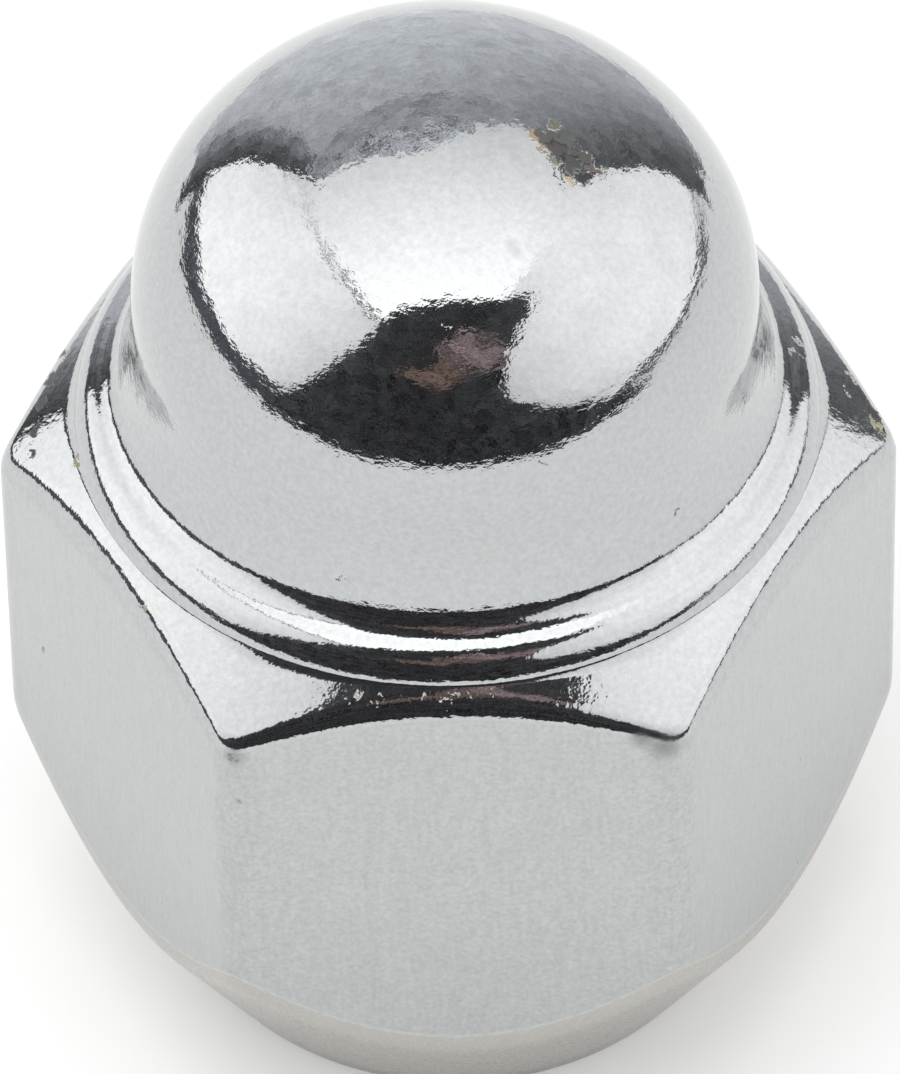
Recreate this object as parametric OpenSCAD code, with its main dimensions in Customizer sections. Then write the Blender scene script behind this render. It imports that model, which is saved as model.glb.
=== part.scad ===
// Closed-end wheel nut: a forged one-piece acorn nut with a hexagon, a conical seat and a blind bore.
// The nut stands on its narrow seat end, and its axis is Z. All sizes are in millimetres.

/* [Hexagon] */
// Width of the hexagon across its flats
hex_af = 21; // [19.5:0.1:24]
// Radius that rounds the six upright corners of the hexagon
corner_round = 1; // [0.3:0.1:2]
// Height from the seat end to the foot of the collar
body_h = 19.1; // [17:0.1:24]
// Slope of the chamfer above the hexagon, in degrees below the horizontal
chamfer_angle = 41; // [28:1:48]

/* [Seat] */
// Radius of the flat ring at the seat end
seat_r = 7.7; // [7.2:0.1:8.6]
// Included angle of the conical seat, in degrees
seat_angle = 60; // [50:1:90]
// Height of the small bevel between the seat end and the cone
seat_bevel = 0.2; // [0.1:0.05:0.4]

/* [Collar] */
// How far the collar lies inside the flats of the hexagon
collar_inset = 0.55; // [0.2:0.05:1]
// Radius that rounds the collar's outer edge
collar_round = 1.45; // [1:0.05:1.8]
// How far, in degrees, the round edge leans in from upright at its foot
foot_angle = 14; // [5:1:25]
// Slope of the collar's flank, in degrees below the horizontal, where its round edge runs into the fillet
flank_angle = 29.5; // [20:0.5:35]
// Radial width from the foot of the collar to the neck of the dome
ledge_w = 1.65; // [1.5:0.05:2]

/* [Dome] */
// Radius of the hollow fillet where the collar's flank turns up
fillet_r = 1.25; // [1:0.05:1.5]
// Slope, in degrees from the vertical, at which the flare runs into the fillet
flare_angle = 20; // [15:1:25]
// Height of the straight neck between the flare and the crown
neck_h = 0.44; // [0.2:0.02:4]
// How much lower the crown is than a half ball of the neck's radius
crown_drop = 0.85; // [0.4:0.05:1]
// Radius of the crown's shoulder
shoulder_r = 6.5; // [5.5:0.1:6.7]

/* [Bore] */
// Minor diameter of the M12 x 1.5 thread, which is the wall of the tapped hole
minor_d = 10.376; // [9.6:0.002:10.6]
// Diameter of the countersink at the mouth
mouth_d = 13; // [12.2:0.1:13.6]
// Included angle of the countersink, in degrees
mouth_angle = 90; // [60:5:120]
// Depth from the seat end to the foot of the drill point
bore_depth = 23.4; // [18:0.1:24]
// Included angle of the drill point at the blind end, in degrees
drill_angle = 118; // [90:1:140]

/* [Hidden] */
$fn = 96;

// The hexagon and the chamfer over it
flat_r = hex_af / 2;
corner_r = flat_r / cos(30);
round_centre_r = (flat_r - corner_round) / cos(30);
collar_r = flat_r - collar_inset;
chamfer_z = body_h - (corner_r - collar_r) * tan(chamfer_angle);

// The cone grows from the seat end until it passes the corners
cone_slope = tan(seat_angle / 2);
cone_foot_r = seat_r + seat_bevel * cone_slope;
bevel_r = seat_r - seat_bevel / 2;
cone_z = (corner_r - seat_r) / cone_slope;

// How far inside the collar's round edge the chamfer's polygon ends, and how high it ends there
lap = 0.3;
lap_z = body_h + lap * tan(chamfer_angle);

// Centres of the circles that shape the collar's edge and the hollow over it, each as [r, z]
edge_c = [collar_r, body_h] - collar_round * [cos(foot_angle), sin(foot_angle)];
fillet_c = edge_c + (collar_round + fillet_r) * [sin(flank_angle), cos(flank_angle)];

// The flare takes the radius that brings it from the end of the fillet to the neck
neck_r = collar_r - ledge_w;
flare_r = (fillet_c.x - fillet_r * cos(flare_angle) - neck_r) / (1 - cos(flare_angle));
flare_z = fillet_c.y + (flare_r - fillet_r) * sin(flare_angle);
flare_c = [neck_r + flare_r, flare_z];

// A point inside the metal, straight in from where the flare runs into the fillet
flare_root = fillet_c - 2 * fillet_r * [cos(flare_angle), sin(flare_angle)];

// The crown is a shoulder arc that runs into a wider arc over the top
spring_z = flare_z + neck_h;
crown_h = neck_r - crown_drop;
shoulder_x = neck_r - shoulder_r;
top_r = (shoulder_x ^ 2 + crown_h ^ 2 - shoulder_r ^ 2) / (2 * (crown_h - shoulder_r));
top_z = spring_z + crown_h;
crown_joint_angle = atan2(top_r - crown_h, shoulder_x);

// The bore
bore_r = minor_d / 2;
mouth_r = mouth_d / 2;
mouth_depth = (mouth_r - bore_r) / tan(mouth_angle / 2);
drill_h = bore_r / tan(drill_angle / 2);
past = 1;

// Hexagon with round corners, as a flat outline
module hex_outline() {
    hull()
        for (corner = [0:5])
            rotate(60 * corner)
                translate([round_centre_r, 0])
                    circle(corner_round, $fn = 36);
}

// Seat cone, barrel and chamfer, whose line runs on into the collar's round edge
module wrench_profile() {
    polygon([
        [0, 0],
        [bevel_r, 0],
        [cone_foot_r, seat_bevel],
        [corner_r, cone_z],
        [corner_r, chamfer_z],
        [collar_r - lap, lap_z],
        [0, lap_z]
    ]);
}

// Round edge of the collar
module collar_profile() {
    translate(edge_c) circle(collar_round);
}

// Hollow fillet from the collar up to the flare: the edges of its polygon cross the arc's ends squarely
module fillet_profile() {
    difference() {
        polygon([[0, body_h / 2], edge_c, fillet_c, flare_root, [0, flare_root.y]]);
        translate(fillet_c) circle(fillet_r);
    }
}

// Long flare from the fillet up to the neck
module flare_profile() {
    difference() {
        polygon([[0, body_h / 2], flare_root, flare_c, [0, flare_z]]);
        translate(flare_c) circle(flare_r);
    }
}

// Straight neck and the crown over it, which has a shoulder arc and a wider arc on top
module crown_profile() {
    translate([0, body_h / 2]) square([neck_r, spring_z - body_h / 2]);
    intersection() {
        translate([shoulder_x, spring_z]) circle(shoulder_r);
        translate([0, body_h / 2]) square([neck_r, top_z]);
    }
    intersection() {
        translate([0, top_z - top_r]) circle(top_r);
        polygon([
            [0, top_z - top_r],
            [2 * top_r * cos(crown_joint_angle), top_z - top_r + 2 * top_r * sin(crown_joint_angle)],
            [0, top_z + top_r]
        ]);
    }
}

// Countersunk blind bore with its drill point
module bore_profile() {
    polygon([
        [0, -past],
        [mouth_r + past * tan(mouth_angle / 2), -past],
        [bore_r, mouth_depth],
        [bore_r, bore_depth],
        [0, bore_depth + drill_h]
    ]);
}

module lug_nut() {
    color([0.78, 0.79, 0.8])
    difference() {
        union() {
            intersection() {
                linear_extrude(lap_z) hex_outline();
                rotate_extrude() wrench_profile();
            }
            rotate_extrude() {
                collar_profile();
                fillet_profile();
                flare_profile();
                crown_profile();
            }
        }
        rotate_extrude() bore_profile();
    }
}

lug_nut();
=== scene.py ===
"""Closed-end wheel nut: its finished mesh, its chrome plating and the small studio round it.

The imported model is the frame. One finished mesh takes the place of the plain solid: the same outside,
with its edges rounded as forging and plating leave them, and a real M12 x 1.5 right-hand thread.
"""

import logging
import math
from dataclasses import dataclass
from enum import Enum
from typing import Iterator

import bmesh
import bpy
from mathutils import Matrix, Vector


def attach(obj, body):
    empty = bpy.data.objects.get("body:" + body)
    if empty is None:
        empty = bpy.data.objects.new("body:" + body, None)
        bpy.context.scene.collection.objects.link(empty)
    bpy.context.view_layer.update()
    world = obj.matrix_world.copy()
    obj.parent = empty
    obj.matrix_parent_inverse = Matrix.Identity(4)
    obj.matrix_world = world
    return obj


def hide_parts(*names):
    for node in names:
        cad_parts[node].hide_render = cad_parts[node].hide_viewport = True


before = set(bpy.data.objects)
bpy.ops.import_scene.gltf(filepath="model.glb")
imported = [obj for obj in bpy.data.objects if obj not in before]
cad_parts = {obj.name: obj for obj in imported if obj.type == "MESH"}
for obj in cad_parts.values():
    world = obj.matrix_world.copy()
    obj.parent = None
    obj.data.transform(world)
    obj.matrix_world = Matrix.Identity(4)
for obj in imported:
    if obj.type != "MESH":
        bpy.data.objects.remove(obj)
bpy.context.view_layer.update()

LOG = logging.getLogger("lug_nut")
MM = 0.001
NODE = "lug_nut"
BODY = "root"

Point = tuple[float, float]
Triple = tuple[float, float, float]
Colour = tuple[float, float, float, float]
Tree = bpy.types.NodeTree
Node = bpy.types.Node
Socket = bpy.types.NodeSocket
Material = bpy.types.Material
BMesh = bmesh.types.BMesh


# ---------- Small helpers ----------


def linear(hex_colour: str) -> Colour:
    """Turns an sRGB hex colour, such as #C0C3C3, into the linear one that Blender's sockets take."""
    digits = hex_colour.lstrip("#")
    channels = [int(digits[i : i + 2], 16) / 255 for i in (0, 2, 4)]
    red, green, blue = [c / 12.92 if c <= 0.04045 else ((c + 0.055) / 1.055) ** 2.4 for c in channels]
    return (red, green, blue, 1.0)


def add_node(
    tree: Tree, kind: str, inputs: dict[str | int, object] | None = None, **settings: object
) -> Node:
    """Adds one shader node with its settings, its values and its incoming links.

    Args:
        tree: the node tree that gets the node.
        kind: the node's type name.
        inputs: for each input's name or number, a value or the output socket that feeds it.
        **settings: attributes of the node itself.

    Returns:
        The new node.
    """
    node = tree.nodes.new(kind)
    for name, value in settings.items():
        setattr(node, name, value)
    for key, value in (inputs or {}).items():
        if isinstance(value, Socket):
            tree.links.new(value, node.inputs[key])
        else:
            node.inputs[key].default_value = value
    return node


def maths(tree: Tree, operation: str, *values: float | Socket) -> Socket:
    """Adds a math node on numbers or sockets and returns its result."""
    return add_node(tree, "ShaderNodeMath", dict(enumerate(values)), operation=operation).outputs[0]


def vector_maths(tree: Tree, operation: str, *values: Triple | Socket) -> Socket:
    """Adds a vector math node on vectors or sockets and returns its vector."""
    inputs = dict(enumerate(values))
    return add_node(tree, "ShaderNodeVectorMath", inputs, operation=operation).outputs[0]


def remap(tree: Tree, value: Socket, *ends: float | Socket, ease: str = "LINEAR") -> Socket:
    """Adds a map from one range to another: ends are the old range's two and the new range's two."""
    inputs = dict(enumerate((value, *ends)))
    return add_node(tree, "ShaderNodeMapRange", inputs, interpolation_type=ease).outputs[0]


def noise(tree: Tree, place: Socket, size_mm: float, detail: float, keep: float = 0.5) -> Node:
    """Adds a noise texture whose size is given in real millimetres.

    Args:
        tree: the material's node tree.
        place: coordinates in metres.
        size_mm: size of the widest hills.
        detail: how many times they are drawn finer.
        keep: how much of its height each finer drawing keeps.

    Returns:
        The noise node.
    """
    inputs = {"Vector": place, "Scale": 1 / (size_mm * MM), "Detail": detail, "Roughness": keep}
    return add_node(tree, "ShaderNodeTexNoise", inputs)


def blend(tree: Tree, share: Socket, under: Colour | Socket, over: Colour) -> Socket:
    """Lays a colour over another, where share is how much of it covers."""
    mix = add_node(tree, "ShaderNodeMix", {"Factor": share, 6: under, 7: over}, data_type="RGBA")
    return mix.outputs[2]


def end_as_metal(tree: Tree, colour: Socket, roughness: float | Socket, bump: Node) -> None:
    """Ends a material's node tree as bare metal."""
    inputs = {"Base Color": colour, "Metallic": 1.0, "Roughness": roughness, "Normal": bump.outputs[0]}
    shader = add_node(tree, "ShaderNodeBsdfPrincipled", inputs)
    add_node(tree, "ShaderNodeOutputMaterial", {"Surface": shader.outputs[0]})


def new_material(name: str) -> tuple[Material, Tree]:
    """Makes an empty node material and returns it with its node tree."""
    material = bpy.data.materials.new(name)
    material.use_nodes = True
    material.node_tree.nodes.clear()
    return material, material.node_tree


def mesh_object(name: str, bm: BMesh, materials: list[Material]) -> bpy.types.Object:
    """Turns a bmesh into an object that sits at the origin.

    Args:
        name: the object's name.
        bm: the finished bmesh, which is freed.
        materials: the object's materials, in slot order.

    Returns:
        The linked object.
    """
    mesh = bpy.data.meshes.new(name)
    bm.to_mesh(mesh)
    bm.free()
    for material in materials:
        mesh.materials.append(material)
    piece = bpy.data.objects.new(name, mesh)
    bpy.context.scene.collection.objects.link(piece)
    return piece


def arc(centre: Point, radius: float, start: float, end: float, steps: int) -> list[Point]:
    """Lists points along an arc in the plane of the section.

    Args:
        centre: the arc's centre, as distance from the axis and height.
        radius: the arc's radius.
        start: first angle, in degrees above the outward direction.
        end: last angle, in degrees.
        steps: how many stretches the arc is cut into.

    Returns:
        The points, both ends included.
    """
    angles = [math.radians(start + (end - start) * i / steps) for i in range(steps + 1)]
    return [(centre[0] + radius * math.cos(a), centre[1] + radius * math.sin(a)) for a in angles]


def line(start: Point, end: Point, shares: tuple[float, ...]) -> list[Point]:
    """Lists points along a straight stretch, without its first point.

    Args:
        start: where the stretch starts.
        end: where it ends.
        shares: how far along each point lies, from 0 to 1.

    Returns:
        The points.
    """
    return [(start[0] + (end[0] - start[0]) * s, start[1] + (end[1] - start[1]) * s) for s in shares]


# ---------- Finishes ----------


@dataclass(frozen=True)
class SpotForm:
    """How a kind of spot is shaped: its depth and its even core as shares of its radius."""

    depth: float
    core: float
    # Whether its outline is ragged or a round, soft one
    ragged: bool


class SpotKind(Enum):
    """What a spot on the plating is: a real flaw, except the last, which is painted shade."""

    # Plating worn through to dull, dark steel. It is too thin to show a step
    CHIP = SpotForm(depth=0.0, core=0.7, ragged=True)
    # Dried dirt that stands a little proud of the plating
    DIRT = SpotForm(depth=-0.05, core=0.6, ragged=True)
    # Small hole with steep sides
    PIT = SpotForm(depth=0.25, core=0.4, ragged=True)
    # Shallow dent with the plating whole
    DENT = SpotForm(depth=0.04, core=0.1, ragged=False)
    # Soft grey patch of painted shade
    PAINTED_SHADE = SpotForm(depth=0.0, core=0.0, ragged=False)


@dataclass(frozen=True)
class ColourSpot:
    """One spot at a known place on the nut: most are real blemishes, some are painted shade and painted
    glints.

    The place is in millimetres from the centre of the seat end, the size is the spot's radius, and cover
    is how much of the plating's colour its own colour hides.
    """

    spot_kind: SpotKind
    place_mm: Triple
    size_mm: float
    colour: str
    cover: float


CROWN_MARKS_AND_GLINTS = (
    # Two small pits whose near-white colour is a painted glint
    ColourSpot(SpotKind.PIT, (-0.14, -5.81, 28.59), 0.07, "#E8E0CC", 0.8),
    ColourSpot(SpotKind.PIT, (0.04, -5.9, 28.51), 0.06, "#E8E0CC", 0.8),
    ColourSpot(SpotKind.CHIP, (2.72, -0.85, 30.33), 0.34, "#55534F", 0.8),
    ColourSpot(SpotKind.CHIP, (3.0, -1.2, 30.2), 0.36, "#4E4B47", 0.85),
    ColourSpot(SpotKind.CHIP, (3.33, -1.5, 30.02), 0.34, "#474541", 0.85),
    ColourSpot(SpotKind.CHIP, (3.64, -1.86, 29.78), 0.26, "#323133", 0.9),
    ColourSpot(SpotKind.CHIP, (3.2, -0.8, 30.16), 0.34, "#55534F", 0.75),
    ColourSpot(SpotKind.CHIP, (3.6, -1.2, 29.96), 0.3, "#4A4744", 0.8),
    ColourSpot(SpotKind.CHIP, (3.9, -1.45, 29.76), 0.16, "#5A3C2C", 0.75),
    ColourSpot(SpotKind.DIRT, (2.38, -0.9, 30.42), 0.18, "#BFA780", 0.75),
    ColourSpot(SpotKind.DIRT, (2.64, -1.33, 30.3), 0.18, "#B5A488", 0.75),
    ColourSpot(SpotKind.DIRT, (2.88, -1.62, 30.17), 0.15, "#98905C", 0.7),
    ColourSpot(SpotKind.DIRT, (3.2, -1.99, 29.96), 0.2, "#C6B08C", 0.75),
    ColourSpot(SpotKind.DIRT, (2.98, -0.39, 30.28), 0.22, "#7C7A48", 0.6),
    ColourSpot(SpotKind.DIRT, (3.66, -1.0, 29.96), 0.09, "#D8D4C4", 0.8),
    ColourSpot(SpotKind.DIRT, (3.86, -1.15, 29.82), 0.09, "#C8C2A8", 0.8),
    ColourSpot(SpotKind.DIRT, (3.97, -1.28, 29.75), 0.09, "#C8C2B0", 0.8),
    ColourSpot(SpotKind.DIRT, (4.08, -1.42, 29.67), 0.09, "#BDB9A6", 0.8),
    ColourSpot(SpotKind.DIRT, (4.19, -1.56, 29.58), 0.09, "#BDB9A6", 0.8),
    ColourSpot(SpotKind.DIRT, (4.3, -1.7, 29.48), 0.09, "#A8A47C", 0.8),
    ColourSpot(SpotKind.DENT, (1.78, -3.97, 29.66), 0.3, "#A4A6A8", 0.3),
    ColourSpot(SpotKind.DENT, (1.92, -4.15, 29.54), 0.24, "#A4A6A8", 0.3),
    ColourSpot(SpotKind.PIT, (-2.9, -7.93, 21.26), 0.095, "#6A6864", 0.6),
    ColourSpot(SpotKind.PIT, (-2.65, -8.02, 21.23), 0.095, "#5C5A56", 0.6),
    ColourSpot(SpotKind.PIT, (2.48, -7.63, 25.26), 0.095, "#5C5A56", 0.7),
    ColourSpot(SpotKind.PIT, (-2.88, -7.39, 25.53), 0.081, "#6A6864", 0.6),
    ColourSpot(SpotKind.PIT, (5.89, -5.98, 21.44), 0.095, "#6C6860", 0.7),
    ColourSpot(SpotKind.PIT, (9.41, 1.44, 20.0), 0.216, "#8C8E90", 0.2),
    ColourSpot(SpotKind.PIT, (9.18, 0.84, 20.07), 0.176, "#8C8E90", 0.2),
    ColourSpot(SpotKind.PIT, (9.53, 0.85, 19.98), 0.176, "#8C8E90", 0.2),
    ColourSpot(SpotKind.PIT, (9.72, 1.23, 19.83), 0.162, "#8C8E90", 0.2),
    ColourSpot(SpotKind.DIRT, (-9.84, -1.7, 19.12), 0.11, "#8E8244", 0.7),
)

# Painted shade at the top corners of the front flat. It lies across the edge between the flat and its
# chamfer, so both finishes show it
EDGE_PAINTED_SHADE = (
    ColourSpot(SpotKind.PAINTED_SHADE, (5.5, -10.4, 17.15), 0.75, "#4E4C52", 0.45),
    ColourSpot(SpotKind.PAINTED_SHADE, (4.9, -10.4, 17.5), 0.5, "#4E4C52", 0.4),
    ColourSpot(SpotKind.PAINTED_SHADE, (-5.75, -10.4, 17.05), 0.5, "#4E4C52", 0.35),
)

CHAMFER_MARKS_SHADE_AND_GLINTS = EDGE_PAINTED_SHADE + (
    ColourSpot(SpotKind.DIRT, (-9.84, -1.75, 19.06), 0.15, "#8E8244", 0.75),
    ColourSpot(SpotKind.DIRT, (-9.7, -2.25, 19.08), 0.1, "#8E8244", 0.6),
    ColourSpot(SpotKind.DIRT, (-8.12, -6.57, 18.67), 0.13, "#9A9060", 0.7),
    ColourSpot(SpotKind.DIRT, (10.19, -3.4, 18.41), 0.14, "#B4AE84", 0.6),
    ColourSpot(SpotKind.CHIP, (-10.31, 2.75, 18.47), 0.2, "#3A3B40", 0.7),
    ColourSpot(SpotKind.CHIP, (-10.63, 1.83, 18.37), 0.3, "#3A3B40", 0.75),
    ColourSpot(SpotKind.CHIP, (-10.85, 1.02, 18.28), 0.28, "#34353A", 0.8),
    ColourSpot(SpotKind.CHIP, (-10.98, 0.19, 18.2), 0.24, "#34353A", 0.85),
    ColourSpot(SpotKind.CHIP, (-11.05, -0.53, 18.13), 0.16, "#34353A", 0.85),
    ColourSpot(SpotKind.CHIP, (11.32, 0.55, 17.9), 0.3, "#333234", 0.85),
    ColourSpot(SpotKind.CHIP, (11.05, 0.05, 18.14), 0.22, "#2E2D2F", 0.85),
    ColourSpot(SpotKind.CHIP, (11.5, -0.25, 17.75), 0.2, "#2E2D2F", 0.8),
    ColourSpot(SpotKind.DIRT, (11.36, 0.15, 17.88), 0.2, "#B4B28C", 0.8),
    ColourSpot(SpotKind.DIRT, (11.5, 0.02, 17.75), 0.17, "#6E6C3C", 0.85),
    ColourSpot(SpotKind.DIRT, (11.62, 0.2, 17.65), 0.16, "#B0AE84", 0.8),
    ColourSpot(SpotKind.PIT, (10.81, 1.47, 18.26), 0.176, "#A4A6A8", 0.2),
    ColourSpot(SpotKind.PIT, (10.73, 0.7, 18.4), 0.162, "#A4A6A8", 0.2),
    # A row of small pits along the front chamfer; their near-white colour is painted glints
    ColourSpot(SpotKind.PIT, (0.03, -10.13, 18.94), 0.12, "#E8E6E4", 0.6),
    ColourSpot(SpotKind.PIT, (-0.2, -10.2, 18.87), 0.09, "#E8E6E4", 0.6),
    ColourSpot(SpotKind.PIT, (0.42, -10.1, 18.96), 0.06, "#E8E6E4", 0.5),
    ColourSpot(SpotKind.PIT, (1.03, -10.09, 18.94), 0.07, "#E8E6E4", 0.5),
    ColourSpot(SpotKind.PIT, (-0.75, -10.15, 18.9), 0.06, "#E8E6E4", 0.5),
    ColourSpot(SpotKind.PIT, (-1.3, -10.05, 18.93), 0.05, "#E8E6E4", 0.5),
    ColourSpot(SpotKind.PIT, (-1.93, -10.09, 18.82), 0.06, "#E8E6E4", 0.5),
    ColourSpot(SpotKind.PIT, (-2.45, -9.91, 18.87), 0.09, "#E8E6E4", 0.5),
    ColourSpot(SpotKind.PIT, (-2.19, -10.06, 18.8), 0.07, "#E8E6E4", 0.5),
    ColourSpot(SpotKind.PIT, (-2.84, -10.02, 18.69), 0.09, "#E8E6E4", 0.5),
    ColourSpot(SpotKind.PIT, (3.04, -9.92, 18.72), 0.08, "#E8E6E4", 0.5),
)

FLAT_MARKS_AND_SHADE = EDGE_PAINTED_SHADE + (
    ColourSpot(SpotKind.PIT, (-10.98, -1.99, 11.66), 0.135, "#6E6C68", 0.7),
    ColourSpot(SpotKind.PIT, (-5.84, -10.5, 17.02), 0.135, "#7C7A76", 0.4),
    ColourSpot(SpotKind.PIT, (-5.67, -10.5, 15.4), 0.108, "#7C7A76", 0.3),
    ColourSpot(SpotKind.PIT, (6.29, -10.5, 17.26), 0.176, "#7C7A76", 0.4),
    ColourSpot(SpotKind.PIT, (6.1, -10.5, 16.6), 0.135, "#7C7A76", 0.4),
    ColourSpot(SpotKind.PIT, (6.42, -10.5, 15.85), 0.149, "#7C7A76", 0.3),
    ColourSpot(SpotKind.PIT, (6.24, -10.5, 14.23), 0.121, "#8A8882", 0.4),
    ColourSpot(SpotKind.PIT, (6.37, -10.5, 12.6), 0.135, "#8A8882", 0.4),
    ColourSpot(SpotKind.PIT, (6.15, -10.5, 10.4), 0.108, "#8A8882", 0.4),
    ColourSpot(SpotKind.DIRT, (4.82, -10.5, 5.68), 0.09, "#7A6C58", 0.7),
    ColourSpot(SpotKind.PIT, (9.26, -4.96, 10.1), 0.095, "#9A9894", 0.5),
    ColourSpot(SpotKind.PIT, (9.29, -4.91, 5.89), 0.095, "#9A9894", 0.5),
)


@dataclass(frozen=True)
class ChromePlating:
    """Decorative chrome over nickel on forged steel.

    It mirrors the room. The orange peel that the forging leaves breaks the edges of what it mirrors.
    """

    name: str
    spots_and_painted_light: tuple[ColourSpot, ...]
    colour: str = "#C0C3C3"
    roughness: float = 0.05
    # The orange peel's widest hills, how far they rise, and how many times they are drawn finer
    peel_mm: float = 0.7
    peel_rise_mm: float = 0.02
    peel_detail: float = 4.5
    # How much of its height each finer peel keeps
    peel_keep: float = 0.6
    # The hills are drawn out level, the way that the polishing wheel ran
    drawn_out: float = 1.5
    # Grain of the plating, drawn as coarse as it needs to show, and how far it shades up and down
    grain_mm: float = 0.16
    grain_shade: float = 0.085
    # Hairlines that the sockets of wrenches leave: width, length in widths, slant in radians, and shade
    hairline_mm: float = 0.12
    hairline_length: float = 9.0
    hairline_slant: float = 0.35
    hairline_shade: float = 0.0
    # Scuffed corners: grain, distance from the axis where they start and are full, and shade
    scuff_mm: float = 0.35
    scuff_r_mm: float = 11.6
    scuff_full_r_mm: float = 12.1
    scuff_shade: float = 0.0
    # Painted shade at the foot of the nut: heights where it starts to thin and ends, and how dark it gets
    foot_shade_start_mm: float = 3.0
    foot_shade_end_mm: float = 11.0
    painted_foot_shade: float = 0.0
    # How wide the bays in the outlines of spots are, and how far they stray
    bay_mm: float = 0.3
    stray_mm: float = 0.9
    # Roughness where a spot lays its colour, such as what a chip lays bare
    bare_roughness: float = 0.6

    def strayed(self, tree: Tree, place: Socket) -> Socket:
        """Shifts places to and fro, so that round spots get ragged outlines.

        Args:
            tree: the material's node tree.
            place: Object coordinates, in metres.

        Returns:
            The shifted places.
        """
        bays = noise(tree, place, self.bay_mm, 3.0, 0.6).outputs["Color"]
        middle = vector_maths(tree, "SUBTRACT", bays, (0.5, 0.5, 0.5))
        return vector_maths(tree, "MULTIPLY_ADD", middle, (self.stray_mm * MM,) * 3, place)

    def spot(self, tree: Tree, place: Socket, colour_spot: ColourSpot) -> Socket:
        """Makes a mask that is 1 on a spot and 0 away from it.

        Args:
            tree: the material's node tree.
            place: coordinates in metres, strayed where the outline is ragged.
            colour_spot: the spot.

        Returns:
            The mask's socket.
        """
        centre = tuple(c * MM for c in colour_spot.place_mm)
        size = colour_spot.size_mm * MM
        away = add_node(tree, "ShaderNodeVectorMath", {0: place, 1: centre}, operation="DISTANCE")
        core = size * colour_spot.spot_kind.value.core
        return remap(tree, away.outputs["Value"], core, size, 1.0, 0.0, ease="SMOOTHSTEP")

    def marked_and_shaded(self, tree: Tree, place: Socket, shade: Socket) -> Socket:
        """Adds the marks of use, hairlines and scuffed corners, and painted shade that darkens towards
        the foot.

        Args:
            tree: the material's node tree.
            place: Object coordinates, in metres.
            shade: the share of light that is left before.

        Returns:
            The share that is left after.
        """
        turn = (0.0, self.hairline_slant, 0.0)
        draw = (1.0, 1.0, 1 / self.hairline_length)
        drawing = {"Vector": place, "Rotation": turn, "Scale": draw}
        slant = add_node(tree, "ShaderNodeMapping", drawing).outputs[0]
        hairs = noise(tree, slant, self.hairline_mm, 1.5, 0.6).outputs[0]
        lines = remap(tree, hairs, 0.3, 0.7, 1 - self.hairline_shade, 1 + self.hairline_shade)
        level = vector_maths(tree, "MULTIPLY", place, (1, 1, 0))
        reach = add_node(tree, "ShaderNodeVectorMath", {0: level}, operation="LENGTH").outputs["Value"]
        start, full = self.scuff_r_mm * MM, self.scuff_full_r_mm * MM
        corner = remap(tree, reach, start, full, 0.0, self.scuff_shade)
        rubbed = noise(tree, place, self.scuff_mm, 3.0, 0.7).outputs[0]
        scuff = remap(tree, rubbed, 0.42, 0.62, 0.0, corner)
        # Painted shade: less light towards the foot of the nut
        up = add_node(tree, "ShaderNodeSeparateXYZ", {0: place}).outputs["Z"]
        start, end = self.foot_shade_start_mm * MM, self.foot_shade_end_mm * MM
        foot_light = remap(tree, up, start, end, 1 - self.painted_foot_shade, 1.0)
        whole = maths(tree, "SUBTRACT", foot_light, scuff)
        marked = maths(tree, "MULTIPLY", shade, lines)
        return maths(tree, "MULTIPLY", marked, whole)

    def material(self) -> Material:
        """Builds the plating's material."""
        material, tree = new_material(self.name)
        place = add_node(tree, "ShaderNodeTexCoord").outputs["Object"]
        level = (1 / self.drawn_out, 1 / self.drawn_out, 1.0)
        drawn = vector_maths(tree, "MULTIPLY", place, level)
        hills = noise(tree, drawn, self.peel_mm, self.peel_detail, self.peel_keep).outputs[0]
        height = maths(tree, "MULTIPLY", hills, self.peel_rise_mm * MM)
        grain = noise(tree, place, self.grain_mm, 2.0, 0.6).outputs[0]
        shade = remap(tree, grain, 0.25, 0.75, 1 - self.grain_shade, 1 + self.grain_shade)
        if self.painted_foot_shade:
            shade = self.marked_and_shaded(tree, place, shade)
        tint = {0: linear(self.colour)[:3], "Scale": shade}
        colour = add_node(tree, "ShaderNodeVectorMath", tint, operation="SCALE").outputs[0]
        rough = remap(tree, grain, 0.3, 0.7, self.roughness * 0.7, self.roughness * 1.3)
        stray = self.strayed(tree, place)
        for colour_spot in self.spots_and_painted_light:
            form = colour_spot.spot_kind.value
            mask = self.spot(tree, stray if form.ragged else place, colour_spot)
            depth = form.depth * colour_spot.size_mm * MM
            if depth:
                height = maths(tree, "MULTIPLY_ADD", mask, -depth, height)
            share = maths(tree, "MULTIPLY", mask, colour_spot.cover)
            colour = blend(tree, share, colour, linear(colour_spot.colour))
            bare = {"Factor": share, 2: rough, 3: self.bare_roughness}
            rough = add_node(tree, "ShaderNodeMix", bare).outputs[0]
        bump = add_node(tree, "ShaderNodeBump", {"Strength": 1.0, "Distance": 1.0, "Height": height})
        end_as_metal(tree, colour, rough, bump)
        return material


# The crown: ground and polished before it was plated, so it mirrors sharply over a drawn-out peel
BRIGHT_CHROME = ChromePlating("bright_chrome", CROWN_MARKS_AND_GLINTS)

# The chamfers: turned and plated, with a finer, rounder peel that ruffles what they mirror
FORGED_CHROME = ChromePlating(
    "forged_chrome",
    CHAMFER_MARKS_SHADE_AND_GLINTS,
    peel_mm=0.3,
    peel_rise_mm=0.01,
    peel_detail=2.5,
    drawn_out=1.0,
)

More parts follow.
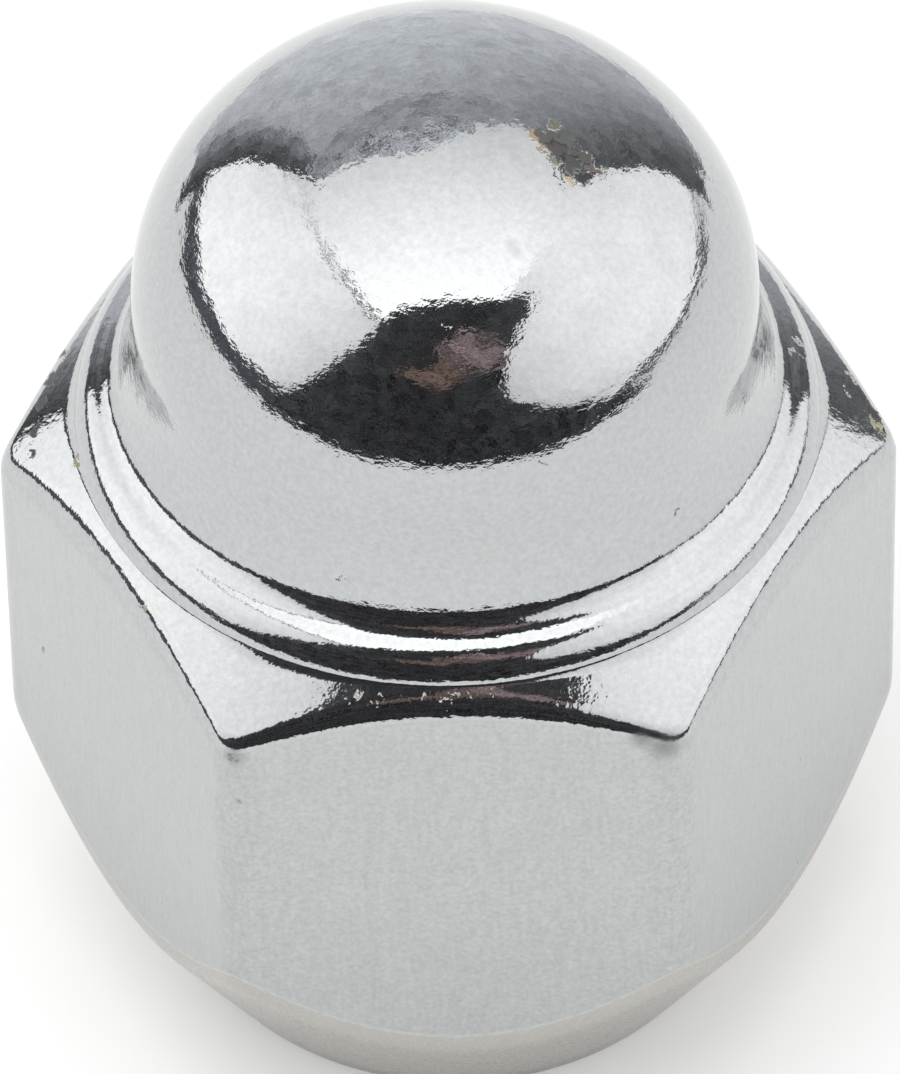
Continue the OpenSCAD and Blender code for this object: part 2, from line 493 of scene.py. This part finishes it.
# The flats: plated over the forging's dull skin and handled by wrenches, so they only glow softly
SATIN_CHROME = ChromePlating(
    "satin_chrome",
    FLAT_MARKS_AND_SHADE,
    colour="#BEC1C0",
    roughness=0.2,
    peel_mm=0.4,
    peel_rise_mm=0.008,
    drawn_out=1.0,
    grain_mm=0.12,
    grain_shade=0.11,
    hairline_shade=0.03,
    scuff_shade=0.09,
    # Painted shade: the flats darken towards the foot
    painted_foot_shade=0.1,
)

# The seat: rubbed dull by the wheel, with brake dust in the plating that turns it a little yellow
WORN_SEAT_CHROME = ChromePlating(
    "worn_seat_chrome",
    (),
    colour="#BDBBB5",
    roughness=0.25,
    grain_shade=0.05,
    peel_mm=0.4,
    peel_rise_mm=0.006,
    drawn_out=1.0,
)


@dataclass(frozen=True)
class TappedSteel:
    """Bare steel that a tap has cut, under a film of oil: darker than plating, with turning marks."""

    name: str = "tapped_steel"
    colour: str = "#8E8B86"
    oiled_colour: str = "#5E5A54"
    roughness: float = 0.32
    # Turning marks: height, squeeze that draws them out round the bore, and depth
    mark_mm: float = 0.12
    mark_squeeze: float = 0.12
    mark_depth_mm: float = 0.003

    def material(self) -> Material:
        """Builds the steel's material."""
        material, tree = new_material(self.name)
        place = add_node(tree, "ShaderNodeTexCoord").outputs["Object"]
        draw = (self.mark_squeeze, self.mark_squeeze, 1.0)
        rings = add_node(tree, "ShaderNodeMapping", {"Vector": place, "Scale": draw}).outputs[0]
        marks = noise(tree, rings, self.mark_mm, 3.0).outputs[0]
        shade = blend(tree, marks, linear(self.colour), linear(self.oiled_colour))
        relief = {"Strength": 1.0, "Distance": self.mark_depth_mm * MM, "Height": marks}
        bump = add_node(tree, "ShaderNodeBump", relief)
        end_as_metal(tree, shade, self.roughness, bump)
        return material


class Slot(Enum):
    """Material slots of the nut's mesh."""

    CROWN = 0
    CHAMFER = 1
    FLAT = 2
    SEAT = 3
    THREAD = 4


# ---------- The nut ----------


@dataclass
class Thread:
    """The ridge that a right-hand M12 x 1.5 tap leaves between its grooves, as one closed helix."""

    pitch: float = 1.5
    major_r: float = 6.0
    minor_r: float = 5.188
    start_z: float = -0.4
    end_z: float = 20.2
    # How far the ridge's root is sunk in the wall
    root_sink: float = 0.1
    # What is left of the ridge where the countersink or the run-out cuts it away
    sliver: float = 0.01
    # How far the ridge stays above the seat end
    end_gap: float = 0.02
    # Steps in one turn
    steps: int = 72

    def ridge(self, mouth_r: float) -> BMesh:
        """Spins the ridge, with its crest cut back by the countersink and run out at its inner end.

        Args:
            mouth_r: radius of the countersink at the seat end.

        Returns:
            The ridge as a closed bmesh, in millimetres.
        """
        bm = bmesh.new()
        crest = self.pitch / 8
        root_r = self.major_r + self.root_sink
        root = crest + (root_r - self.minor_r) * math.tan(math.radians(30))
        corners = [(root_r, -root), (self.minor_r, -crest), (self.minor_r, crest), (root_r, root)]
        ring = [bm.verts.new((r, 0.0, self.start_z + z)) for r, z in corners]
        edges = [bm.edges.new((ring[i], ring[(i + 1) % 4])) for i in range(4)]
        turns = (self.end_z - self.start_z) / self.pitch
        spun = bmesh.ops.spin(
            bm,
            geom=ring + edges,
            axis=(0, 0, 1),
            cent=(0, 0, 0),
            dvec=(0, 0, self.pitch / self.steps),
            angle=2 * math.pi * turns,
            steps=round(turns * self.steps),
            use_merge=False,
        )
        last = [e for e in spun["geom_last"] if isinstance(e, bmesh.types.BMEdge)]
        bm.faces.new(ring)
        bmesh.ops.contextual_create(bm, geom=last)
        fade_z = self.end_z - self.pitch / 2
        for vert in bm.verts:
            radius = math.hypot(vert.co.x, vert.co.y)
            runout = max(0.0, min(1.0, (vert.co.z - fade_z) / (self.pitch / 2)))
            least = max(
                mouth_r - vert.co.z, self.minor_r + runout * (root_r - self.minor_r - self.sliver)
            )
            if radius < least:
                grown = min(least, root_r - self.sliver / 2) / radius
                vert.co.x *= grown
                vert.co.y *= grown
            vert.co.z = max(vert.co.z, self.end_gap)
        for face in bm.faces:
            face.material_index = Slot.THREAD.value
        return bm


@dataclass
class LugNut:
    """The nut's own mesh, in millimetres until it is finished.

    Its outside is a section spun round the axis. In the hexagon's height each meridian of the spun mesh
    is then drawn in to the flat or the corner that it meets, with the edges rounded along the whole cut.
    """

    hex_af: float = 21.0
    corner_round: float = 1.0
    body_h: float = 19.1
    chamfer_angle: float = 41.0
    # Rounding where the chamfer meets the wall, at the corners and in the middle of the flats
    corner_edge_round: float = 1.0
    flat_edge_round: float = 1.5
    seat_r: float = 7.7
    seat_angle: float = 60.0
    seat_bevel: float = 0.2
    seat_round: float = 2.0
    collar_inset: float = 0.55
    collar_round: float = 1.45
    foot_angle: float = 14.0
    flank_angle: float = 29.5
    ledge_w: float = 1.65
    fillet_r: float = 1.25
    flare_angle: float = 20.0
    neck_h: float = 0.44
    crown_drop: float = 0.85
    shoulder_r: float = 6.5
    mouth_r: float = 6.5
    bore_depth: float = 23.4
    drill_angle: float = 118.0
    # Flat land round the countersink's rim, and how far the full bore runs on past the thread
    mouth_land: float = 0.35
    thread_run_on: float = 0.2
    columns: int = 360
    # How strongly the meridians gather at the corners of the hexagon, and over how many rows
    gather: float = 1.6
    gather_rows: int = 5
    # Rows of the mesh: shares of the chamfer and of the wall, and steps of the arcs at the wall's ends
    chamfer_shares: tuple[float, ...] = (0.2, 0.5, 0.8)
    wall_shares: tuple[float, ...] = (0.01, 0.05, 0.2, 0.4, 0.6, 0.8, 0.95, 0.99)
    chamfer_steps: int = 9
    seat_steps: int = 6
    # Steps of the chamfer's arc that have the satin finish of the flats
    satin_steps: int = 3

    def __post_init__(self) -> None:
        """Works out the sizes that follow from the driving ones."""
        self.flat_r = self.hex_af / 2
        self.corner_r = self.flat_r / math.cos(math.radians(30))
        self.round_centre_r = (self.flat_r - self.corner_round) / math.cos(math.radians(30))
        self.collar_r = self.flat_r - self.collar_inset
        self.thread = Thread()

    def outline_r(self, angle: float) -> float:
        """Distance from the axis to the hexagon's rounded outline.

        Args:
            angle: direction from the axis, in radians, with a corner at 0.

        Returns:
            The distance in millimetres.
        """
        sector = math.radians(60)
        off = abs((angle + sector / 2) % sector - sector / 2)
        tangent = math.atan2(
            self.corner_round * math.sin(sector / 2),
            self.round_centre_r + self.corner_round * math.cos(sector / 2),
        )
        if off >= tangent:
            return self.flat_r / math.cos(sector / 2 - off)
        across = self.round_centre_r * math.sin(off)
        return self.round_centre_r * math.cos(off) + math.sqrt(self.corner_round**2 - across**2)

    def gathered(self, angle: float) -> float:
        """Moves a meridian towards the nearest corner of the hexagon, where the outline bends most.

        Args:
            angle: the meridian's even angle, in radians.

        Returns:
            Its new angle, in radians.
        """
        half = math.radians(30)
        corner = round(angle / (2 * half)) * 2 * half
        off = angle - corner
        return corner + math.copysign(half * (abs(off) / half) ** self.gather, off)

    def crown_rows(self) -> list[Point]:
        """Points from the top of the crown down to just above the foot of the collar."""
        foot, turn = math.radians(self.foot_angle), math.radians(self.flare_angle)
        meet = math.radians(90 - self.flank_angle)
        reach = self.collar_round + self.fillet_r
        edge = (
            self.collar_r - self.collar_round * math.cos(foot),
            self.body_h - self.collar_round * math.sin(foot),
        )
        fillet = (edge[0] + reach * math.cos(meet), edge[1] + reach * math.sin(meet))
        neck_r = self.collar_r - self.ledge_w
        flare_r = (fillet[0] - self.fillet_r * math.cos(turn) - neck_r) / (1 - math.cos(turn))
        flare = (neck_r + flare_r, fillet[1] + (flare_r - self.fillet_r) * math.sin(turn))
        spring_z = flare[1] + self.neck_h
        crown_h = neck_r - self.crown_drop
        shoulder_x = neck_r - self.shoulder_r
        top_r = (shoulder_x**2 + crown_h**2 - self.shoulder_r**2) / (2 * (crown_h - self.shoulder_r))
        top_centre = (0.0, spring_z + crown_h - top_r)
        joint = math.degrees(math.atan2(top_r - crown_h, shoulder_x))
        rows = arc(top_centre, top_r, 90, joint, 26)
        rows += arc((shoulder_x, spring_z), self.shoulder_r, joint, 0, 18)[1:]
        rows += line(rows[-1], (neck_r, flare[1]), (0.5, 1.0))
        rows += arc(flare, flare_r, 180, 180 + self.flare_angle, 10)[1:]
        rows += arc(fillet, self.fillet_r, 180 + self.flare_angle, 270 - self.flank_angle, 12)[1:]
        rows += arc(edge, self.collar_round, 90 - self.flank_angle, self.foot_angle, 14)[1:-1]
        return rows

    def wrench_rows(self, wall_r: float) -> list[Point]:
        """Points from the foot of the collar to the seat's bevel, on a meridian that meets the hexagon.

        Args:
            wall_r: distance from the axis to the hexagon's wall on this meridian.

        Returns:
            The points. Every meridian has as many.
        """
        slope = math.tan(math.radians(self.chamfer_angle))
        top_z = self.body_h - (wall_r - self.collar_r) * slope
        top_turn = 90 - self.chamfer_angle
        share = (wall_r - self.flat_r) / (self.corner_r - self.flat_r)
        top_round = self.flat_edge_round + (self.corner_edge_round - self.flat_edge_round) * share
        top_run = top_round * math.tan(math.radians(top_turn / 2))
        top_arc = arc((wall_r - top_round, top_z - top_run), top_round, top_turn, 0, self.chamfer_steps)
        half = self.seat_angle / 2
        low_z = (wall_r - self.seat_r) / math.tan(math.radians(half))
        low_run = self.seat_round * math.tan(math.radians(half / 2))
        low_centre = (wall_r - self.seat_round, low_z + low_run)
        low_arc = arc(low_centre, self.seat_round, 0, -half, self.seat_steps)
        foot = (self.seat_r + self.seat_bevel * math.tan(math.radians(half)), self.seat_bevel)
        rows = [(self.collar_r, self.body_h)]
        rows += line(rows[0], top_arc[0], self.chamfer_shares)
        rows += top_arc
        rows += line(top_arc[-1], low_arc[0], self.wall_shares)
        rows += low_arc
        rows += line(low_arc[-1], foot, (0.04, 0.2, 0.4, 0.6, 0.8, 1.0))
        return rows

    def bore_rows(self) -> list[Point]:
        """Points from the seat end in through the mouth and up the bore to the drill point."""
        thread = self.thread
        drill_r = thread.minor_r
        wall_top = thread.end_z + self.thread_run_on
        tip = self.bore_depth + drill_r / math.tan(math.radians(self.drill_angle / 2))
        rows = [(self.seat_r - self.seat_bevel / 2, 0.0)]
        rows += [(self.mouth_r + self.mouth_land, 0.0), (self.mouth_r, 0.0)]
        rows.append((thread.major_r, self.mouth_r - thread.major_r))
        rows += line(rows[-1], (thread.major_r, wall_top), (0.25, 0.5, 0.75, 1.0))
        rows.append((drill_r, wall_top + thread.major_r - drill_r))
        rows += line(rows[-1], (drill_r, self.bore_depth), (0.5, 1.0))
        rows += line(rows[-1], (0.0, tip), (0.33, 0.66, 1.0))
        return rows

    def meridian(self, angle: float) -> list[Point]:
        """The whole section on the meridian at an angle in radians, from the crown to the drill point."""
        return self.crown_rows() + self.wrench_rows(self.outline_r(angle)) + self.bore_rows()

    def gathering(self, row: int, first: int, last: int) -> float:
        """How far a row's meridians gather at the corners: 0 on the crown and seat, 1 on the flats.

        Args:
            row: the row's number.
            first: number of the row at the foot of the collar.
            last: number of the row at the seat's bevel.

        Returns:
            The share of the full gathering.
        """
        return max(0.0, min(1.0, (row - first) / self.gather_rows, (last - row) / self.gather_rows))

    def shape(self) -> BMesh:
        """Spins the section, in millimetres, and draws its meridians in to the hexagon."""
        bm = bmesh.new()
        row_layer = bm.verts.layers.int.new("row")
        section = self.meridian(0.0)
        first = len(self.crown_rows())
        last = first + len(self.wrench_rows(self.corner_r)) - 1
        chain = []
        for number, (radius, height) in enumerate(section):
            vert = bm.verts.new((radius, 0.0, height))
            vert[row_layer] = number
            chain.append(vert)
        edges = [bm.edges.new(pair) for pair in zip(chain, chain[1:])]
        bmesh.ops.spin(
            bm,
            geom=chain + edges,
            axis=(0, 0, 1),
            cent=(0, 0, 0),
            angle=2 * math.pi,
            steps=self.columns,
            use_merge=True,
        )
        bmesh.ops.remove_doubles(bm, verts=bm.verts, dist=1e-5)
        step = 2 * math.pi / self.columns
        sections: dict[tuple[int, float], list[Point]] = {}
        for vert in bm.verts:
            row = vert[row_layer]
            if not first <= row <= last:
                continue
            column = round(math.atan2(vert.co.y, vert.co.x) / step) % self.columns
            share = self.gathering(row, first, last)
            angle = column * step + share * (self.gathered(column * step) - column * step)
            key = (column, share)
            if key not in sections:
                sections[key] = self.wrench_rows(self.outline_r(angle))
            radius, height = sections[key][row - first]
            vert.co = (radius * math.cos(angle), radius * math.sin(angle), height)
        self.paint(bm, row_layer, first, last)
        return bm

    def paint(
        self, bm: BMesh, row_layer: bmesh.types.BMLayerItem, first: int, last: int
    ) -> None:
        """Gives each face its material slot: crown, chamfers, satin flats, worn seat or bare bore.

        Args:
            bm: the nut's bmesh.
            row_layer: the layer with each vertex's row.
            first: number of the row at the foot of the collar.
            last: number of the row at the seat's bevel.
        """
        arc_end = first + 1 + len(self.chamfer_shares) + self.chamfer_steps
        wall = range(arc_end - self.satin_steps, arc_end + 1 + len(self.wall_shares))
        # The seat's ring and land end at the rim, the third row of the bore
        mouth = last + 3
        for face in bm.faces:
            rows = [v[row_layer] for v in face.verts]
            if min(rows) >= mouth:
                face.material_index = Slot.THREAD.value
            elif min(rows) in wall and max(rows) in wall:
                face.material_index = Slot.FLAT.value
            elif min(rows) > wall[-1]:
                face.material_index = Slot.SEAT.value
            elif min(rows) >= first:
                face.material_index = Slot.CHAMFER.value
            else:
                face.material_index = Slot.CROWN.value

    def build(self) -> None:
        """Makes the finished nut and puts it in the frame in place of the plain solid."""
        bm = self.shape()
        ridge = bpy.data.meshes.new("thread_ridge")
        spun = self.thread.ridge(self.mouth_r)
        spun.to_mesh(ridge)
        spun.free()
        bm.from_mesh(ridge)
        bpy.data.meshes.remove(ridge)
        bmesh.ops.recalc_face_normals(bm, faces=bm.faces)
        sharp = math.radians(35)
        for face in bm.faces:
            face.smooth = True
        for edge in bm.edges:
            edge.smooth = edge.calc_face_angle(0.0) < sharp
        bmesh.ops.scale(bm, vec=(MM, MM, MM), verts=bm.verts)
        finishes = (BRIGHT_CHROME, FORGED_CHROME, SATIN_CHROME, WORN_SEAT_CHROME, TappedSteel())
        materials = [finish.material() for finish in finishes]
        piece = mesh_object("nut_finished", bm, materials)
        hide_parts(NODE)
        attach(piece, BODY)
        LOG.info("nut: %d vertices, %d faces", len(piece.data.vertices), len(piece.data.polygons))


# ---------- The studio ----------


def bend(ends: Triple, share: float) -> float:
    """Reads a smooth bend through three values.

    Args:
        ends: the values at the start, the middle and the end.
        share: how far along to read, from 0 to 1.

    Returns:
        The value there.
    """
    start, middle, end = ends
    return (
        start * (1 - share) * (1 - 2 * share)
        + middle * 4 * share * (1 - share)
        + end * share * (2 * share - 1)
    )


@dataclass(frozen=True)
class Card:
    """A card of the light tent, given by the directions in which the nut sees its edges.

    Azimuth 0 is straight away from the camera and 90 is to its right. The side edges have an azimuth at
    their foot, middle and head, and the lower and upper edges an elevation at their left, middle and
    right, all in degrees. Light is the card's brightness from its left to its right, where 1 is the white
    of the floor, and shading gives the share of it that is left at the foot, middle and head.
    """

    name: str
    left: Triple
    right: Triple
    low: Triple
    high: Triple
    light: Triple
    shading: Triple = (1.0, 1.0, 1.0)
    colour: str = "#FFFFFF"
    distance_mm: float = 330.0
    # Light that is added towards the camera and taken away from it
    lean: float = 0.0
    # Folds in the cloth: how wide they are, how many times longer, and how much light they take or add
    fold_mm: float = 60.0
    fold_length: float = 1.0
    folds: float = 0.0
    # Squares of the grid, enough for a smooth bend
    squares_across: int = 40
    squares_up: int = 24

    def mesh(self, centre: Vector) -> BMesh:
        """Bends a grid into the card's patch of a ball round the nut, with its light and spread noted.

        Args:
            centre: middle of the ball, in metres.
        """
        bm = bmesh.new()
        bmesh.ops.create_grid(bm, x_segments=self.squares_across, y_segments=self.squares_up, size=0.5)
        light = bm.verts.layers.float.new("light")
        cloth = bm.verts.layers.float_vector.new("cloth")
        reach = self.distance_mm * MM
        for vert in bm.verts:
            across, up = vert.co.x + 0.5, vert.co.y + 0.5
            left, right = bend(self.left, up), bend(self.right, up)
            low, high = bend(self.low, across), bend(self.high, across)
            azimuth = math.radians(left + (right - left) * across)
            rise = math.radians(low + (high - low) * up)
            level = math.cos(rise)
            way = Vector((math.sin(azimuth) * level, math.cos(azimuth) * level, math.sin(rise)))
            vert.co = centre + way * reach
            vert[light] = bend(self.light, across) * bend(self.shading, up) - self.lean * way.y
            vert[cloth] = Vector((azimuth * level, rise, 0)) * reach
        return bm

    def material(self) -> Material:
        """Plain card or cloth with its light noted on it, and soft folds where it hangs loose."""
        material, tree = new_material(f"tent_{self.name}")
        level = add_node(tree, "ShaderNodeAttribute", attribute_name="light").outputs["Fac"]
        spread = add_node(tree, "ShaderNodeAttribute", attribute_name="cloth").outputs["Vector"]
        drawn = vector_maths(tree, "MULTIPLY", spread, (1 / self.fold_length, 1, 1))
        cloth = noise(tree, drawn, self.fold_mm, 3.0).outputs[0]
        fold = remap(tree, cloth, 0.35, 0.65, max(0.0, 1 - self.folds), 1 + self.folds)
        strength = maths(tree, "MULTIPLY", level, fold)
        light = {"Color": linear(self.colour), "Strength": strength}
        glow = add_node(tree, "ShaderNodeEmission", light)
        add_node(tree, "ShaderNodeOutputMaterial", {"Surface": glow.outputs[0]})
        return material

    def hang(self, centre: Vector) -> None:
        """Makes the card, which only reflections see.

        Args:
            centre: middle of the tent, in metres.
        """
        card = mesh_object(f"card_{self.name}", self.mesh(centre), [self.material()])
        card.visible_camera = False
        card.visible_diffuse = False
        card.visible_shadow = False


@dataclass
class Studio:
    """A light tent with an open front, a pale floor and one soft lamp."""

    floor_half_mm: float = 2500.0
    floor_colour: str = "#E6E6E6"
    # What is added to the sheet for the camera and for mirrors, so that it reads as white
    camera_glow: float = 0.2
    mirror_glow: float = 0.12
    # Height of the point that the cards stand round
    centre_height_mm: float = 25.0
    # Light of the room, and the soft lamp's place, width and power
    sky: float = 0.95
    lamp_place_mm: Triple = (-120.0, -100.0, 600.0)
    lamp_width_mm: float = 500.0
    lamp_watts: float = 1.2

    def cards(self) -> Iterator[Card]:
        """Yields the tent's cards."""
        yield Card(
            "front_opening",
            left=(108, 158, 131),
            right=(244, 226, 209),
            low=(-5, -10, -6),
            high=(47, 56, 49.5),
            light=(0.08, 0.05, 0.085),
            shading=(1.0, 0.95, 1.1),
            colour="#F8F7FF",
            distance_mm=150,
            fold_mm=8,
            folds=0.8,
        )
        yield Card(
            "front_warm",
            left=(180, 169, 182),
            right=(186, 199, 184),
            low=(28, 25.5, 28),
            high=(34, 36.5, 33),
            light=(0.12, 0.24, 0.12),
            colour="#FFD8CB",
            distance_mm=145,
            fold_mm=12,
            folds=0.6,
        )
        yield Card(
            "front_rosy",
            left=(158, 154, 165),
            right=(172, 185, 178),
            low=(33, 30, 33),
            high=(42, 46, 43),
            light=(0.2, 0.34, 0.16),
            colour="#FFE0E4",
            distance_mm=145,
            fold_mm=12,
            folds=0.8,
        )
        yield Card(
            "left_side",
            left=(-122, -140, -160),
            right=(-45, -48, -63),
            low=(2, 3, 0),
            high=(42, 51, 38),
            light=(0.95, 1.57, 1.3),
            shading=(1.05, 1.0, 0.92),
            folds=0.04,
        )
        yield Card(
            "right_side",
            left=(53, 56, 70),
            right=(128, 165, 160),
            low=(0, 1, 2),
            high=(46, 55, 50),
            light=(1.27, 1.47, 0.88),
            colour="#FFFCFE",
            folds=0.04,
        )
        yield Card(
            "top",
            left=(-180, -180, -180),
            right=(180, 180, 180),
            low=(36, 36, 36),
            high=(90, 90, 90),
            light=(1.46, 1.46, 1.46),
            distance_mm=500,
            lean=0.9,
            folds=0.04,
        )
        yield Card(
            "backdrop",
            left=(-38, -44, -60),
            right=(45, 47, 54),
            low=(-17, -14, -17),
            high=(44, 46, 44),
            light=(0.62, 0.83, 0.22),
            shading=(1.15, 1.0, 0.78),
            colour="#F6F8FF",
            distance_mm=110,
            fold_mm=4,
            fold_length=2.5,
            folds=0.2,
        )
        yield Card(
            "left_gap",
            left=(-52, -52, -66),
            right=(-37, -41, -55),
            low=(-10, -10, -10),
            high=(48, 50, 52),
            light=(0.08, 0.24, 0.55),
            colour="#F6F8FF",
            distance_mm=108,
            fold_mm=6,
            folds=0.4,
        )
        yield Card(
            "right_gap",
            left=(40, 43, 48),
            right=(54, 57, 69),
            low=(-9, -9, -9),
            high=(48, 50, 50),
            light=(0.3, 0.2, 0.15),
            colour="#F6F8FF",
            distance_mm=108,
            fold_mm=6,
            folds=0.4,
        )
        yield Card(
            "back_top",
            left=(-60, -62, -62),
            right=(56, 44, 34),
            low=(42, 44, 44),
            high=(50, 68, 48),
            light=(0.48, 0.49, 0.45),
            colour="#F6F8FF",
            distance_mm=105,
            fold_mm=5,
            fold_length=3,
            folds=0.3,
        )
        yield Card(
            "back_edge",
            left=(-59, -56, -56),
            right=(44, 34, 30),
            low=(44, 58, 46),
            high=(50, 69, 50),
            light=(0.38, 0.42, 0.4),
            shading=(0.9, 1.0, 1.3),
            colour="#F6F8FF",
            distance_mm=102,
            fold_mm=2.5,
            fold_length=5,
            folds=1.7,
        )
        yield Card(
            "left_rail",
            left=(-124, -124, -124),
            right=(-40, -40, -40),
            low=(-5, -4, -10),
            high=(4, 4, -2),
            light=(0.1, 0.15, 0.12),
            colour="#EEF0FF",
            distance_mm=320,
            fold_mm=12,
            folds=0.5,
        )
        yield Card(
            "right_rail",
            left=(48, 48, 48),
            right=(128, 128, 128),
            low=(-8, -2, -2),
            high=(-5, 1, 1),
            light=(0.2, 0.22, 0.16),
            colour="#EEF0FF",
            distance_mm=320,
            fold_mm=12,
            folds=0.5,
        )
        yield Card(
            "left_seam",
            left=(-150, -150, -150),
            right=(-60, -60, -60),
            low=(44, 49, 39),
            high=(45.3, 50.1, 39.7),
            light=(0.1, 0.5, 1.1),
            distance_mm=300,
        )

    def floor_material(self) -> Material:
        """Matt white sheet, lifted a little for the camera and for mirrors so that it looks white."""
        material, tree = new_material("white_sheet")
        rays = add_node(tree, "ShaderNodeLightPath").outputs
        mirrored = maths(tree, "MULTIPLY", rays["Is Glossy Ray"], self.mirror_glow)
        lift = maths(tree, "MULTIPLY_ADD", rays["Is Camera Ray"], self.camera_glow, mirrored)
        sheet = {
            "Base Color": linear(self.floor_colour),
            "Roughness": 0.9,
            "Specular IOR Level": 0.0,
            "Emission Color": linear("#FFFFFF"),
            "Emission Strength": lift,
        }
        shader = add_node(tree, "ShaderNodeBsdfPrincipled", sheet)
        add_node(tree, "ShaderNodeOutputMaterial", {"Surface": shader.outputs[0]})
        return material

    def floor(self) -> None:
        """Lays the floor under the nut."""
        bm = bmesh.new()
        bmesh.ops.create_grid(bm, x_segments=1, y_segments=1, size=self.floor_half_mm * MM)
        sheet = mesh_object("floor", bm, [self.floor_material()])

    def world(self) -> None:
        """White room: full white for the camera, and a plain level for everything else."""
        world = bpy.data.worlds.new("white_room")
        world.use_nodes = True
        tree = world.node_tree
        tree.nodes.clear()
        seen = add_node(tree, "ShaderNodeLightPath").outputs["Is Camera Ray"]
        level = remap(tree, seen, 0.0, 1.0, self.sky, 1.0)
        sky = add_node(tree, "ShaderNodeBackground", {"Color": linear("#FFFFFF"), "Strength": level})
        add_node(tree, "ShaderNodeOutputWorld", {"Surface": sky.outputs[0]})
        bpy.context.scene.world = world

    def lamp(self) -> None:
        """Hangs one soft lamp over the nut, which mirrors don't show."""
        light = bpy.data.lights.new("soft_top", "AREA")
        light.shape = "DISK"
        light.size = self.lamp_width_mm * MM
        light.energy = self.lamp_watts
        lamp = bpy.data.objects.new("soft_top", light)
        place = Vector(self.lamp_place_mm) * MM
        lamp.location = place
        lamp.rotation_euler = (-place).to_track_quat("-Z", "Y").to_euler()
        lamp.visible_glossy = False
        lamp.visible_camera = False
        bpy.context.scene.collection.objects.link(lamp)

    def build(self) -> None:
        """Sets up the whole studio."""
        self.floor()
        centre = Vector((0, 0, self.centre_height_mm * MM))
        for card in self.cards():
            card.hang(centre)
            LOG.info("card: %s", card.name)
        self.world()
        self.lamp()
        bpy.context.scene.view_settings.view_transform = "Standard"


@dataclass
class ViewCamera:
    """The camera: a long lens that looks steeply down at the nut, from in front of one flat."""

    elevation: float = 48.46
    distance_mm: float = 356.5
    aim_height_mm: float = 13.8
    roll: float = -1.12
    lens_mm: float = 444.3
    sensor_mm: float = 36.0

    def build(self) -> None:
        """Makes the camera and gives it to the scene."""
        rise, roll = math.radians(self.elevation), math.radians(self.roll)
        back = Vector((0, -math.cos(rise), math.sin(rise)))
        up = Vector((0, math.sin(rise), math.cos(rise)))
        right = Vector((1, 0, 0))
        turned_right = right * math.cos(roll) + up * math.sin(roll)
        turned_up = up * math.cos(roll) - right * math.sin(roll)
        place = Vector((0, 0, self.aim_height_mm * MM)) + back * self.distance_mm * MM
        data = bpy.data.cameras.new("camera")
        data.lens = self.lens_mm
        data.sensor_width = self.sensor_mm
        camera = bpy.data.objects.new("camera", data)
        turn = Matrix((turned_right, turned_up, back)).transposed()
        camera.matrix_world = Matrix.Translation(place) @ turn.to_4x4()
        bpy.context.scene.collection.objects.link(camera)
        bpy.context.scene.camera = camera


def main() -> None:
    """Builds the camera, the studio and the nut."""
    logging.basicConfig(level=logging.INFO, format="%(name)s: %(message)s")
    ViewCamera().build()
    Studio().build()
    LugNut().build()
    bpy.context.view_layer.update()


if __name__ == "__main__":
    main()
